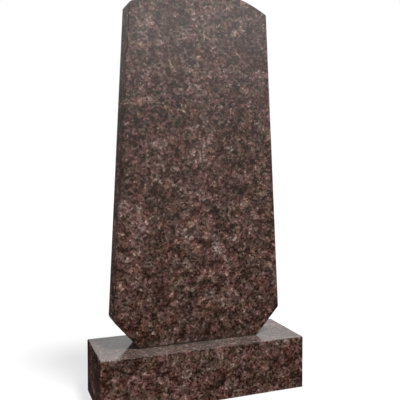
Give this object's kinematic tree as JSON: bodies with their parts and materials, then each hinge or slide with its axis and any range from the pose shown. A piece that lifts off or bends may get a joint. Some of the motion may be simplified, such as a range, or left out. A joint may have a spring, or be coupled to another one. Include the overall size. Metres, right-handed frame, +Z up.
{
  "type": "granite headstone on a plinth",
  "caption": "Upright polished granite grave stele with a low arched head, tapering sides and cut-in foot, doweled and bonded to a plain rectangular plinth.",
  "frame": {"origin": "centre of the plinth's underside, on the ground", "axes": "+Z up, +X to the right of somebody reading the inscription face, which looks along -Y"},
  "size_m": [0.6, 0.2, 1.1519],
  "materials": {
    "stele_granite": "polished dark brown granite with reddish-brown feldspar",
    "plinth_granite": "the same granite, polished except for the sawn underside",
    "resin": "cured dark stone resin",
    "dowel_steel": "drawn stainless steel"
  },
  "bodies": {
    "root": {"stele": "stele_granite", "plinth": "plinth_granite", "resin_bed": "resin", "left_dowel": "dowel_steel", "right_dowel": "dowel_steel"}
  },
  "joints": []
}
